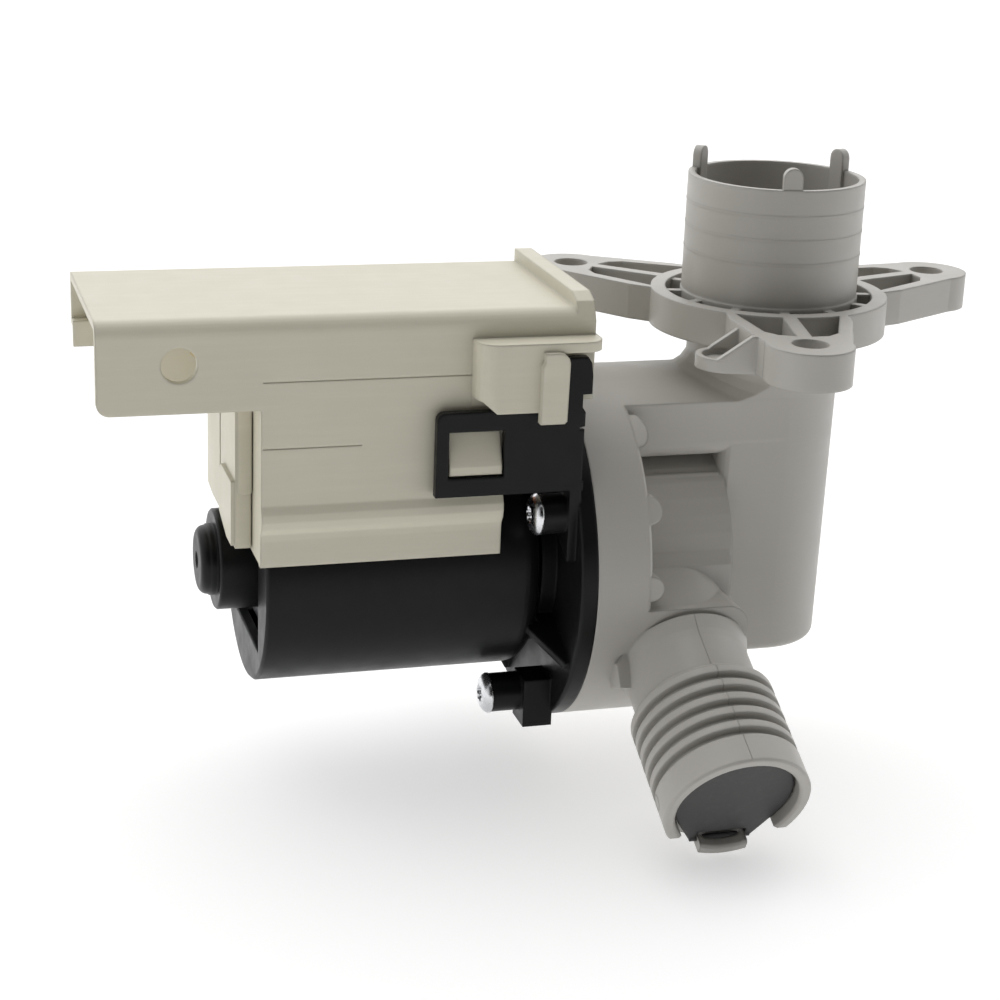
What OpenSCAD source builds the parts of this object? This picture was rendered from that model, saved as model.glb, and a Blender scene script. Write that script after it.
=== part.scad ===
// Washer drain pump with an upright inlet tube, a three-ear mounting flange, a ribbed outlet with
// a rubber check valve, and a small synchronous motor with a clipped-on splash shield.
// Millimetres. The pump hangs from its flange: the origin is the centre of the flange's top face,
// +Z runs up the inlet tube, the motor lies towards -X and the outlet points to -Y and down.
// Sizes are written from the crossing of the motor axis and the inlet axis, then hung() lowers all.

/* [Inlet tube] */
// Outside diameter of the inlet tube
inlet_od = 44.5; // [40:0.5:50]
// Wall of the inlet tube
inlet_wall = 1.7; // [1.4:0.1:2.6]
// Height of the inlet rim above the motor axis
inlet_top = 93.5; // [86:0.5:110]
// Spacing of the three fine rings on the tube
ring_pitch = 5.9; // [4:0.1:8]
// Width of the three snap prongs in the mouth
prong_w = 4.7; // [3:0.1:7]
// How far the prongs stand above the rim
prong_rise = 5.3; // [3:0.1:8]

/* [Mounting flange] */
// Height of the flange's top face above the motor axis
flange_top = 64; // [58:0.5:72]
// Depth of the mounting flange
flange_depth = 9; // [7:0.5:12]
// Outside diameter of the flange's round ring
flange_ring_od = 60.4; // [57:0.2:70]
// Diameter of the circle through the three ear holes
ear_pcd = 111; // [104:0.5:124]
// Diameter of the ear holes
ear_hole_d = 8.8; // [6:0.1:10]
// Diameter of the round end of each ear
ear_end_d = 21; // [18:0.5:26]
// Direction of the first ear, seen from above
ear_phase = 257.5; // [240:0.5:275]

/* [Sump and pump body] */
// Outside diameter of the sump cup, and width across its flat flanks
cup_od = 38.4; // [36:0.2:42]
// Depth of the sump below the motor axis
cup_depth = 28; // [24:0.5:36]
// Wall of the grey moulding
wall = 2.4; // [1.8:0.1:3]
// Outside diameter of the drum that takes the motor
drum_od = 89.6; // [86:0.2:100]
// Distance from the inlet axis to the seam between drum and motor
seam_dist = 57.35; // [54:0.05:66]
// Width of the drum along the motor axis
drum_w = 13.85; // [11:0.05:18]
// Distance from the inlet axis to the end of the lower body
body_end_dist = 17.6; // [16:0.1:22]
// Height of the shelf of the lower body, below the motor axis
shelf_drop = 4; // [2:0.5:8]
// Radius at which the volute starts, at its tongue
volute_start_r = 18.6; // [18.2:0.1:19.2]
// How much the volute's radius grows in one turn
volute_growth = 9; // [6:0.5:12.5]
// Radius of the water passage from the sump into the volute
eye_r = 11.5; // [8:0.5:13]

/* [Outlet] */
// Outside diameter of the outlet's ribs and collar
outlet_od = 36; // [33:0.5:38]
// Outside diameter of the plain outlet neck
outlet_neck_od = 31; // [29:0.5:32]
// Bore of the outlet
outlet_bore = 26.6; // [22:0.2:27]
// Distance from the inlet axis to the outlet axis
outlet_dist = 32.3; // [31:0.1:34]
// How far the outlet dips below level
outlet_dip = 27; // [15:1:40]
// Length of the outlet from the motor axis to its mouth
outlet_len = 89.4; // [84:0.2:110]
// Number of hose grooves
groove_count = 5; // [3:1:6]
// Spacing of the hose grooves
groove_pitch = 4.2; // [3.4:0.1:4.6]
// Depth of the hose grooves
groove_depth = 1.7; // [0.8:0.1:2]
// Length of the plain collar in front of the grooves
collar_w = 7.8; // [7:0.1:12]

/* [Check valve] */
// Diameter of the rubber disc
valve_d = 29.2; // [28:0.1:29.4]
// Thickness of the rubber disc
valve_t = 2; // [1.4:0.1:2.2]
// How deep the disc lies inside the mouth
valve_recess = 3; // [2.6:0.1:3.4]

/* [Motor housing] */
// Thickness of the motor's cover flange
cover_t = 4.15; // [3:0.05:6]
// Outside diameter of the motor barrel
barrel_od = 61; // [58:0.5:64]
// Length from the seam to the barrel's rear end
barrel_len = 77.55; // [74:0.05:90]
// Outside diameter of the rotor can
can_od = 25.1; // [24.5:0.1:26]
// Wall of the rotor can
can_wall = 1.35; // [1:0.05:1.5]
// How far the can stands out of the barrel
can_proud = 7.9; // [6:0.1:12]
// Length of the round nose on the can
nose_len = 4; // [3:0.1:6]
// Depth of the spigot that plugs the pump chamber
spigot_len = 9.8; // [9:0.1:12]
// Radius of the circle of the cover screws
screw_r = 38.35; // [37.6:0.05:38.6]
// Diameter of the screw heads
screw_head_d = 10.2; // [8:0.1:10.6]
// Diameter of the screw shanks
screw_d = 4.6; // [3.5:0.1:5]

/* [Rotor and impeller] */
// Diameter of the shaft
shaft_d = 4; // [3:0.1:4.6]
// Diameter of the rotor magnet
magnet_od = 21; // [20:0.1:21.4]
// Length of the rotor magnet
magnet_len = 40; // [30:1:44]
// Diameter of the impeller
impeller_od = 35.2; // [32:0.2:35.4]
// Number of vanes
vane_count = 6; // [4:1:8]
// Thickness of the vanes at the hub
vane_t = 2; // [1.4:0.1:3]
// Free turn of the impeller on its drive dog
free_turn = 174; // [120:1:180]

/* [Stator] */
// Length of the lamination stack
stack_len = 36; // [30:1:38]
// Half of the width of the pole pieces
pole_half = 19; // [18:0.1:19]
// Width of each core leg
leg_w = 11.5; // [9:0.1:11.5]
// Distance between the two core legs
leg_gap = 8; // [8:0.1:9]
// Thickness of the copper on the coil formers
copper_t = 2.4; // [1.6:0.1:2.5]
// Length of the windings
winding_len = 22.5; // [18:0.5:23]

/* [Splash shield] */
// Height of the top of the shield
shield_top = 69.2; // [68.8:0.1:74]
// Distance of the shield's front face from the motor axis
shield_front = 35; // [34.4:0.1:38]
// Distance of the shield's rear face from the motor axis
shield_back = 18.5; // [18.2:0.1:26]
// Wall of the shield
shield_wall = 2; // [1.5:0.1:2.2]
// Length of the roof that overhangs the terminals
overhang = 37; // [25:0.5:50]
// Height of the lower edge of the shield's front
shield_hem = 9.6; // [7:0.1:12]
// Height of the front edge of the overhanging roof
overhang_hem = 47.8; // [46:0.2:52]
// Diameter of the harness clip hole
clip_hole_d = 8.2; // [5:0.1:9]

/* [Hidden] */
$fn = 96;

// Clearances
seat_gap = 0.3;
slip = 0.05;
cut = 1;

// Stations along the motor axis
seam = -seam_dist;
drum_end = seam + drum_w;
body_end = -body_end_dist;
cover_back = seam - cover_t;
spigot_end = seam + spigot_len;
barrel_end = seam - barrel_len;
can_end = barrel_end - can_proud;
nose_end = can_end - nose_len;

// Radii
inlet_r = inlet_od / 2;
ring_r = flange_ring_od / 2;
ring_wall = 3.9;
tube_foot = 0.3;
cup_r = cup_od / 2;
cup_foot_r = cup_r - 0.8;
drum_r = drum_od / 2;
barrel_r = barrel_od / 2;
barrel_wall = 2.3;
can_r = can_od / 2;
can_bore = can_r - can_wall;
shaft_r = shaft_d / 2;

// Mounting flange
flange_low = flange_top - flange_depth;
flange_floor = 2;
ear_r = ear_pcd / 2;
ear_end_r = ear_end_d / 2;
ear_count = 3;
ear_wall = 2.2;
ear_rib = 3.5;
ear_fillet = 7;
spoke_w = 2.4;
spoke_drop = 0.5;
ear_root_half = 15;
ear_boss_r = ear_hole_d / 2 + 2.6;

// Volute: it starts at the outlet's tongue and grows round under the sump and over the top
chamber_end = body_end - wall - 0.2;
function volute_r(turned) = volute_start_r + volute_growth * turned / 360;
function volute_angle(turned) = 180 + outlet_dip + turned;
module volute_shape(grow) {
  polygon([for (turned = [0:9:360])
    (volute_r(turned) + grow) * [cos(volute_angle(turned)), sin(volute_angle(turned))]]);
}
spigot_bore = volute_start_r + volute_growth + 0.6;

// Outlet stations, measured along the outlet from the motor axis
outlet_r = outlet_od / 2;
neck_r = outlet_neck_od / 2;
rib_w = 2;
groove_w = groove_pitch - rib_w;
grooves_end = outlet_len - collar_w;
grooves_start = grooves_end - groove_count * groove_pitch + rib_w;
valve_play = 0.6;
mouth_r = valve_d / 2 + valve_play;
valve_front = outlet_len - valve_recess;
valve_back = valve_front - valve_t;
valve_seat = valve_back - seat_gap;
hinge_r = 0.75;
hinge_y = -mouth_r - 0.1;
hinge_z = valve_front - 0.4;
tab_half = 6;
leg_in = tab_half + seat_gap;
leg_out = leg_in + 1.3;
notch_top = -9.7;

// Bearings and rotor
bearing_r = shaft_r + 2.2;
bearing_len = 7;
rear_bearing_x = can_end - 1.2;
front_bearing_x = spigot_end - 17.3;
seat_len = bearing_len + 1.4;
rear_seat_r = bearing_r + 2.3;
front_seat_r = bearing_r + 3.8;
washer_t = 0.7;
washer_r = shaft_r + 1.8;
rear_washer_x = rear_bearing_x + bearing_len + seat_gap;
front_washer_x = front_bearing_x - seat_gap - washer_t;
sleeve_r = shaft_r + 1.15;
stack_rear = barrel_end + 3.9;
stack_front = stack_rear + stack_len;
magnet_rear = (stack_rear + stack_front) / 2 - magnet_len / 2;

// Bearing cap that closes the can
cap_flange_r = can_bore + 2.8;
cap_flange_t = 2.6;

// Impeller and drive dog
impeller_back = spigot_end + 0.8;
impeller_front = chamber_end - 3.8;
hub_r = 8.6;
hub_end = impeller_back + 14;
dog_room_r = 6.4;
dog_r = dog_room_r - seat_gap;
dog_room_end = impeller_back + 8.5;
dog_angle = (360 - free_turn - 6) / 2;

// Cover screws: angle of the first from +Y round the motor axis, and where the heads seat
upper_seat = cover_back - 8.2;
lower_seat = cover_back - 14.6;
screw_phase = 150.8;
screw_pitch = 90;
screw_seats = [upper_seat, lower_seat, lower_seat, upper_seat];
screw_head_h = 2.4;
screw_tip = seam + 11;

// Stator
core_bore = can_r + seat_gap;
pole_low = -pole_half + 1.3;
pole_high = 20;
core_in = leg_gap / 2;
core_out = core_in + leg_w;
former_wall = 1;
former_slip = 0.2;
former_flange = 1.5;
former_low = 24.5;
winding_low = former_low + former_flange;
winding_high = winding_low + winding_len;
former_high = winding_high + former_flange;
yoke_low = former_high + seat_gap;
core_top = shield_top - shield_wall - seat_gap;

// Splash shield
shield_right = cover_back - 1;
shield_left = barrel_end - 2.3;
roof_left = shield_left - overhang;
shield_lower_right = cover_back - 17.7;
front_y = -shield_front;
back_y = shield_back;
end_wall_t = 4.4;
ledge_right = cover_back + 3.9;
ledge_low = 60.6;
ledge_t = 2.4;

// Clip arm of the motor housing
arm_gap = 1.2;
arm_t = 2.4;
arm_back_y = front_y - arm_gap;
arm_front_y = arm_back_y - arm_t;
arm_left = cover_back - 35.2;
arm_low = 25.8;
arm_high = 46.3;
arm_window = [[cover_back - 32.3, 30.3], [cover_back - 18.8, 41.6]];
bracket_top = 58.5;
bracket_edge = [[0.5, 36.7], [-0.6, 38.7], [-0.6, 41.6], [0.7, 41.7], [0.7, 45.2], [-0.1, 46.4],
  [-0.1, 49.5], [2.1, 49.6], [2.1, 54], [1.7, 57.1], [0.8, bracket_top]];

// Helpers
module hung() {
  translate([0, 0, -flange_top]) children();
}

module rod_x(x0, x1, r) {
  translate([x0, 0, 0]) rotate([0, 90, 0]) cylinder(h = x1 - x0, r = r);
}

module turned_x(points) {
  rotate([0, 90, 0]) rotate_extrude() polygon([for (p = points) [p[1], p[0]]]);
}

// A flat outline given in Y and Z, with its thickness along X
module slab_x(x0, x1) {
  translate([x0, 0, 0]) rotate([90, 0, 90]) linear_extrude(height = x1 - x0) children();
}

// A flat outline given in X and Z, with its thickness along Y
module slab_y(y0, y1) {
  translate([0, y1, 0]) rotate([90, 0, 0]) linear_extrude(height = y1 - y0) children();
}

module block(low, high) {
  translate(low) cube(high - low);
}

module at_outlet() {
  translate([-outlet_dist, 0, 0]) rotate([90 + outlet_dip, 0, 0]) children();
}

module at_ears() {
  for (i = [0:ear_count - 1]) rotate([0, 0, ear_phase + 360 / ear_count * i]) children();
}

module at_screw(i) {
  angle = screw_phase + screw_pitch * i;
  translate([0, screw_r * cos(angle), screw_r * sin(angle)]) children();
}

function arc(cx, cy, r, a0, a1, n) =
  [for (i = [0:n]) [cx + r * cos(a0 + (a1 - a0) * i / n), cy + r * sin(a0 + (a1 - a0) * i / n)]];

module rounded_rect(x0, y0, x1, y1, r) {
  polygon(concat(
    arc(x0 + r, y0 + r, r, 180, 270, 5),
    arc(x1 - r, y0 + r, r, 270, 360, 5),
    arc(x1 - r, y1 - r, r, 0, 90, 5),
    arc(x0 + r, y1 - r, r, 90, 180, 5)));
}

// Pump housing: the grey moulding with inlet, mounting flange, sump, volute and outlet
module ear_outline() {
  root = [ring_r + 2, ear_root_half];
  tip = [ear_r - 1.2, ear_end_r];
  translate([ear_r, 0]) circle(r = ear_end_r);
  polygon([[inlet_r, -root[1]], [root[0], -root[1]], [tip[0], -tip[1]], tip, root,
    [inlet_r, root[1]]]);
  ear_corner(root, tip);
  mirror([0, 1]) ear_corner(root, tip);
}

// Hollow corner between the side of an ear and the ring
module ear_corner(root, tip) {
  along = (root - tip) / norm(root - tip);
  away = [-along[1], along[0]] * (along[0] < 0 ? -1 : 1);
  base = tip + ear_fillet * away;
  reach = sqrt(pow(base * along, 2) - base * base + pow(ring_r + ear_fillet, 2));
  centre = base + (reach - base * along) * along;
  on_ring = centre * ring_r / (ring_r + ear_fillet);
  a0 = atan2(-away[1], -away[0]);
  a1 = atan2(-centre[1], -centre[0]);
  polygon(concat(arc(centre[0], centre[1], ear_fillet, a0, a1, 8), [on_ring * 0.9, [inlet_r, 0]]));
}

module ear_pocket() {
  start = ring_r - 3;
  end = ear_r - ear_boss_r;
  difference() {
    polygon([[start, ear_rib / 2], [end, ear_rib / 2], [end - 1, ear_end_r - ear_wall - 2.2],
      [end - 4, ear_end_r - ear_wall + 0.6], [start, ear_root_half - ear_wall]]);
    circle(r = ring_r - 0.2);
  }
}

// Small low tab with a round recess beside the first ear
module side_tab() {
  tab_u = ear_r - 12.3;
  tab_v = -ear_root_half - 2.7;
  tab_r = 7;
  rotate([0, 0, ear_phase]) {
    translate([0, 0, flange_low]) difference() {
      linear_extrude(height = 3) {
        translate([tab_u, tab_v]) circle(r = tab_r);
        translate([tab_u - tab_r, tab_v]) square([2 * tab_r, -tab_v - 10]);
      }
      translate([tab_u, tab_v, 1.6]) cylinder(h = 3, r = tab_r - 1.6);
    }
    for (u = [tab_u - tab_r, tab_u + tab_r - 2]) {
      translate([u, 0, 0]) rotate([90, 0, 90]) linear_extrude(height = 2)
        polygon([[tab_v - 3, flange_low + 3], [-10, flange_low + 3], [-10, flange_top],
          [-12.5, flange_top]]);
    }
  }
}

module mounting_flange() {
  translate([0, 0, flange_low]) linear_extrude(height = flange_depth) {
    circle(r = ring_r);
    at_ears() ear_outline();
  }
  side_tab();
}

module flange_cuts() {
  translate([0, 0, flange_low + flange_floor]) {
    difference() {
      cylinder(h = flange_depth, r = ring_r - ring_wall);
      translate([0, 0, -cut]) cylinder(h = flange_depth + 2 * cut, r = inlet_r + tube_foot);
      for (i = [0:11]) rotate([0, 0, ear_phase + 30 * i]) translate([inlet_r - 1, -spoke_w / 2, -cut])
        cube([ring_r, spoke_w, flange_depth - flange_floor - spoke_drop + cut]);
    }
    at_ears() linear_extrude(height = flange_depth) {
      ear_pocket();
      mirror([0, 1]) ear_pocket();
    }
  }
  at_ears() translate([ear_r, 0, flange_low - cut])
    cylinder(h = flange_depth + 2 * cut, r = ear_hole_d / 2);
  rotate([0, 0, ear_phase]) translate([ring_r - 1, 4, flange_low]) rotate([0, 90, 0])
    cylinder(h = 14, r = 2.2);
}

// Snap prong with a round top, on a rib inside the mouth
module prong() {
  inner = inlet_r - inlet_wall - 0.9;
  outer = inlet_r - 0.35;
  round_z = inlet_top + prong_rise - prong_w / 2;
  slab_x(inner, outer) {
    translate([-prong_w / 2, flange_top]) square([prong_w, round_z - flange_top]);
    translate([0, round_z]) circle(r = prong_w / 2);
  }
}

// Half of the outline of sump and neck, as radius and height
sump_edge = 2;
neck_flare = 0.7;
roof_side_z = sqrt(drum_r * drum_r - cup_r * cup_r);
function sump_side() = concat(
  arc(cup_foot_r - sump_edge, -cup_depth + sump_edge, sump_edge, 270, 360, 6),
  [[cup_r, roof_side_z - cut], [cup_r, roof_side_z]]);

module sump_cup() {
  rotate_extrude() polygon(concat([[0, -cup_depth]], sump_side(),
    [[cup_r + neck_flare, roof_side_z + 7], [cup_r + neck_flare, flange_low + cut],
      [0, flange_low + cut]]));
  // Flat flanks, with round corners at the outlet's recess
  corner = 3.5;
  intersection() {
    slab_x(body_end, 0) {
      polygon(concat([[0, -cup_depth]], sump_side(), [[0, roof_side_z]]));
      mirror([1, 0]) polygon(concat([[0, -cup_depth]], sump_side(), [[0, roof_side_z]]));
    }
    translate([0, 0, -cup_depth]) linear_extrude(height = cup_depth + roof_side_z)
      rounded_rect(body_end, -cup_r, cup_r, cup_r, corner);
  }
}

// Fillet that carries the roof of the pump body up to the neck: it follows the roof's round
module roof_sweep() {
  r = 5.6;
  steps = 4;
  for (i = [0:steps - 1]) hull() {
    roof_slice(r, 90 * i / steps);
    roof_slice(r, 90 * (i + 1) / steps);
  }
}

module roof_slice(r, a) {
  sink = 0.3;
  intersection() {
    translate([0, 0, roof_side_z - 4])
      cylinder(h = drum_r, r = cup_r + neck_flare - sink + (r + sink) * (1 - sin(a)), $fn = 48);
    translate([0, 0, (r + sink) * (1 - cos(a)) - sink]) rotate([0, 90, 0])
      cylinder(h = 2 * drum_r, r = drum_r, center = true, $fn = 72);
    block([-drum_r, -cup_r + 0.02, roof_side_z - 4], [0, cup_r - 0.02, drum_r + r]);
  }
}

module pump_body() {
  // Drum that takes the motor, with a softened front edge
  turned_x([[seam, 0], [seam, drum_r], [drum_end - 0.8, drum_r], [drum_end, drum_r - 0.8],
    [drum_end, 0]]);
  // Volute, whose spiral wall is the back of the recess on the front
  slab_x(drum_end - cut, body_end + cut) volute_shape(wall);
  // Roof between the drum and the neck, with a soft edge over the recess
  recess_top = 26;
  soft = 4;
  intersection() {
    rod_x(drum_end - cut, 0, drum_r);
    slab_x(drum_end - cut, 0) polygon(concat(
      arc(-cup_r + soft, recess_top + soft, soft, 180, 270, 5),
      arc(cup_r - soft, recess_top + soft, soft, 270, 360, 5),
      [[cup_r, drum_r], [-cup_r, drum_r]]));
  }
  roof_sweep();
  // Lower body with its shelf
  intersection() {
    rod_x(drum_end - cut, body_end, drum_r);
    slab_y(-drum_r, drum_r) polygon(concat(
      [[drum_end - cut, -drum_r], [body_end, -drum_r]],
      arc(body_end - 6, -shelf_drop - 6, 6, 0, 90, 6),
      [[drum_end - cut, -shelf_drop]]));
  }
  // Front wall of the volute, which slopes outwards down to the outlet
  slab_x(drum_end - cut, body_end) polygon([[-18, 22], [-22.3, 14.6], [-26.5, 8],
    [-30.8, neck_top(30.8)], [-30.8, -shelf_drop - 6], [-18, -shelf_drop - 6]]);
  // Top of the outlet's root, flat towards the drum and round at its free side
  intersection() {
    rod_x(drum_end - cut, body_end, drum_r - 0.2);
    at_outlet() block([drum_end - cut + outlet_dist, 0, 20], [0, neck_r + 0.05, drum_r]);
  }
  // Half-moon pads on the drum's face
  pad_r = 3.1;
  for (z = [36, 20, 1.6]) intersection() {
    rod_x(drum_end - cut, drum_end + 2 * pad_r, drum_r - 0.3);
    translate([drum_end, -sqrt(drum_r * drum_r - z * z), z]) rotate([90, 0, 0])
      cylinder(h = 10, r = pad_r, center = true);
  }
}

// Height of the outlet's top edge at a distance in front of the motor axis
function neck_top(y) = neck_r / cos(outlet_dip) - y * tan(outlet_dip);

module outlet_outside() {
  lead = 2.5;
  flare = 1.3;
  at_outlet() rotate_extrude() polygon(concat(
    [[0, 14], [neck_r, 14], [neck_r, drum_r - 2], [neck_r + flare, drum_r - 1.5],
      [neck_r + flare * 0.5, drum_r + 0.5], [neck_r + flare * 0.15, drum_r + 2],
      [neck_r, drum_r + 4],
      [neck_r, grooves_start - rib_w - lead],
      [outlet_r, grooves_start - rib_w]],
    [for (i = [0:groove_count - 1]) for (p = [
      [outlet_r, grooves_start + i * groove_pitch],
      [outlet_r - groove_depth, grooves_start + i * groove_pitch + 0.3],
      [outlet_r - groove_depth, grooves_start + i * groove_pitch + groove_w - 0.3],
      [outlet_r, grooves_start + i * groove_pitch + groove_w]]) p],
    [[outlet_r, outlet_len - 0.4], [outlet_r - 0.4, outlet_len], [0, outlet_len]]));
  // Locating nub beside the outlet neck
  nub_y = -sqrt(drum_r * drum_r - 400);
  translate([drum_end - 2.6, nub_y, -20]) rotate([-24, 0, 0]) slab_y(-3.4, 4)
    polygon([[-4.4, -5], [3, -5.4], [5, -1], [3, 5], [-1, 5.4], [-4.8, 1]]);
}

module outlet_inside() {
  mouth_edge = 0.6;
  at_outlet() {
    translate([0, 0, 6]) cylinder(h = outlet_len - 6, r = outlet_bore / 2);
    translate([0, 0, valve_seat]) cylinder(h = outlet_len, r = mouth_r);
    // Room for the mouth's soft inner edge
    translate([0, 0, outlet_len - mouth_edge])
      cylinder(h = mouth_edge + cut, r1 = mouth_r, r2 = mouth_r + mouth_edge + cut);
    // Wide notches for the two legs of the check valve, and the bore for its hinge bar
    for (side = [0, 1]) mirror([side, 0, 0])
      translate([tab_half, -outlet_r - cut, valve_seat - 0.4])
        cube([outlet_r, outlet_r + cut + notch_top, outlet_len]);
    translate([-tab_half - cut, hinge_y, hinge_z]) rotate([0, 90, 0])
      cylinder(h = 2 * tab_half + 2 * cut, r = hinge_r + slip);
  }
}

module pump_housing() {
  ring_proud = 0.08;
  color([0.62, 0.61, 0.6]) hung() {
    difference() {
      union() {
        translate([0, 0, flange_low]) cylinder(h = inlet_top - flange_low, r = inlet_r);
        // Thicker foot of the tube inside the flange, with a chamfer above it
        translate([0, 0, flange_low]) cylinder(h = flange_depth, r = inlet_r + tube_foot);
        translate([0, 0, flange_top])
          cylinder(h = tube_foot + cut, r1 = inlet_r + tube_foot, r2 = inlet_r - cut);
        for (i = [1:3]) translate([0, 0, inlet_top - 1 - ring_pitch * i])
          cylinder(h = 0.6, r = inlet_r + ring_proud);
        mounting_flange();
        sump_cup();
        pump_body();
        outlet_outside();
        at_ears() prong();
      }
      flange_cuts();
      // Water way down the inlet into the sump
      difference() {
        translate([0, 0, flange_top - 2]) cylinder(h = inlet_top, r = inlet_r - inlet_wall);
        at_ears() prong();
      }
      translate([0, 0, flange_low - 2])
        cylinder(h = flange_depth, r1 = cup_r - wall - 0.2, r2 = inlet_r - inlet_wall);
      translate([0, 0, -cup_depth + wall + 1.6])
        cylinder(h = flange_low + cup_depth, r1 = cup_foot_r - wall, r2 = cup_r - wall);
      translate([0, 0, -cup_depth + wall])
        cylinder(h = 1.7, r1 = cup_foot_r - wall - 1.6, r2 = cup_foot_r - wall);
      rod_x(chamber_end - cut, 0, eye_r);
      // Volute and the bore for the motor's spigot
      slab_x(spigot_end - 2, chamber_end) volute_shape(0);
      rod_x(seam - cut, spigot_end + seat_gap, spigot_bore);
      outlet_inside();
      for (i = [0:3]) at_screw(i) rod_x(seam - cut, screw_tip + 0.5, screw_d / 2 + slip);
    }
  }
}

// Rubber disc that closes the outlet, with a bevelled lower edge, two legs and a hinge bar
module check_valve() {
  valve_r = valve_d / 2;
  side_x = valve_r * 0.84;
  side_y = -valve_r * 0.55;
  color([0.08, 0.08, 0.08]) hung() at_outlet() {
    difference() {
      translate([0, 0, valve_back]) cylinder(h = valve_t, r = valve_r);
      // Bevel that clears the mouth as the disc swings out
      translate([-valve_r, 0, 0]) rotate([90, 0, 90]) linear_extrude(height = valve_d)
        polygon([[hinge_y - cut, valve_back + 0.2], [-valve_r + 0.2, valve_back + 0.2],
          [hinge_y + 2.7, valve_front + 0.1], [hinge_y - cut, valve_front + 0.1]]);
    }
    for (side = [0, 1]) mirror([side, 0, 0]) translate([0, 0, valve_back])
      linear_extrude(height = valve_t) polygon([[leg_in, hinge_y - 0.4], [leg_in, side_y],
        [side_x, side_y], [leg_out, hinge_y - 0.4]]);
    translate([-leg_out, hinge_y, hinge_z]) rotate([0, 90, 0]) cylinder(h = 2 * leg_out, r = hinge_r);
  }
}

// Impeller with straight vanes, loose on the shaft and carried round by the drive dog
module vane() {
  tip = impeller_od / 2;
  slab_x(impeller_back, impeller_front) polygon([[hub_r - 1.5, -vane_t / 2],
    [tip, -vane_t / 2 + 0.4], [tip, vane_t / 2 - 0.4], [hub_r - 1.5, vane_t / 2]]);
}

module impeller() {
  color([0.85, 0.85, 0.82]) hung() difference() {
    union() {
      turned_x(concat([[impeller_back, 0], [impeller_back, impeller_od / 2 - 1.4],
        [impeller_back + 1.6, impeller_od / 2 - 1.4], [impeller_back + 1.6, hub_r]],
        [[hub_end - 4, hub_r]],
        [for (a = [15:15:75]) [hub_end - 4 + 4 * sin(a), hub_r - 4 + 4 * cos(a)]],
        [[hub_end, hub_r - 4], [hub_end, 0]]));
      intersection() {
        for (i = [0:vane_count - 1]) rotate([360 / vane_count * i, 0, 0]) vane();
        turned_x([[impeller_back, 0], [impeller_back, impeller_od / 2],
          [impeller_back + 12, impeller_od / 2], [impeller_front, impeller_od / 2 - 3.5],
          [impeller_front, hub_r + 1.6], [hub_end - 2, hub_r - 2], [hub_end - 2, 0]]);
      }
    }
    rod_x(impeller_back - cut, hub_end + cut, shaft_r + slip);
    difference() {
      rod_x(impeller_back - cut, dog_room_end, dog_room_r);
      slab_x(impeller_back - 2 * cut, dog_room_end + cut) sector(shaft_r + 1.8, dog_room_r + 1, 0);
    }
  }
}

module sector(inner, outer, facing) {
  polygon(concat(arc(0, 0, outer, facing - dog_angle / 2, facing + dog_angle / 2, 8),
    arc(0, 0, inner, facing + dog_angle / 2, facing - dog_angle / 2, 8)));
}

module drive_dog() {
  color([0.9, 0.88, 0.8]) hung() difference() {
    union() {
      rod_x(impeller_back + seat_gap, dog_room_end - seat_gap, shaft_r + 1.8 - seat_gap);
      slab_x(impeller_back + seat_gap, dog_room_end - seat_gap)
        sector(shaft_r + 0.8, dog_r, 180);
    }
    rod_x(impeller_back - cut, dog_room_end + cut, shaft_r + slip);
  }
}

module rotor_shaft() {
  color([0.78, 0.79, 0.8]) hung()
    turned_x([[rear_bearing_x - 0.3, 0], [rear_bearing_x - 0.3, shaft_r - 0.3],
      [rear_bearing_x, shaft_r], [hub_end + 0.4, shaft_r], [hub_end + 0.8, shaft_r - 0.4],
      [hub_end + 0.8, 0]]);
}

// Plastic sleeve that carries the magnet on the shaft
module rotor_sleeve() {
  color([0.2, 0.2, 0.22]) hung() difference() {
    union() {
      rod_x(rear_washer_x + washer_t + slip, front_washer_x - slip, sleeve_r);
      for (x = [magnet_rear - 1.6 - slip, magnet_rear + magnet_len + slip])
        rod_x(x, x + 1.6, magnet_od / 2 - 2);
    }
    rod_x(rear_washer_x, front_washer_x + 1, shaft_r + slip);
  }
}

module rotor_magnet() {
  color([0.3, 0.3, 0.32]) hung() difference() {
    rod_x(magnet_rear, magnet_rear + magnet_len, magnet_od / 2);
    rod_x(magnet_rear - cut, magnet_rear + magnet_len + cut, sleeve_r + slip);
  }
}

module thrust_washers() {
  color([0.9, 0.9, 0.9]) hung() for (x = [rear_washer_x, front_washer_x]) difference() {
    rod_x(x, x + washer_t, washer_r);
    rod_x(x - cut, x + washer_t + cut, shaft_r + slip);
  }
}

module bearing(x) {
  chamfer = 0.5;
  difference() {
    turned_x([[x, 0], [x, bearing_r - chamfer], [x + chamfer, bearing_r],
      [x + bearing_len - chamfer, bearing_r], [x + bearing_len, bearing_r - chamfer],
      [x + bearing_len, 0]]);
    rod_x(x - cut, x + bearing_len + cut, shaft_r + 0.02);
  }
}

module front_bearing() {
  color([0.25, 0.25, 0.27]) hung() bearing(front_bearing_x);
}

module rear_bearing() {
  color([0.25, 0.25, 0.27]) hung() bearing(rear_bearing_x);
}

// Rubber rings that hold the bearings
module front_bearing_seat() {
  color([0.1, 0.1, 0.1]) hung() difference() {
    rod_x(front_bearing_x, front_bearing_x + seat_len, front_seat_r);
    rod_x(front_bearing_x - cut, front_bearing_x + bearing_len + slip, bearing_r + slip);
    rod_x(front_bearing_x - cut, front_bearing_x + seat_len + cut, shaft_r + seat_gap);
  }
}

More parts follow.
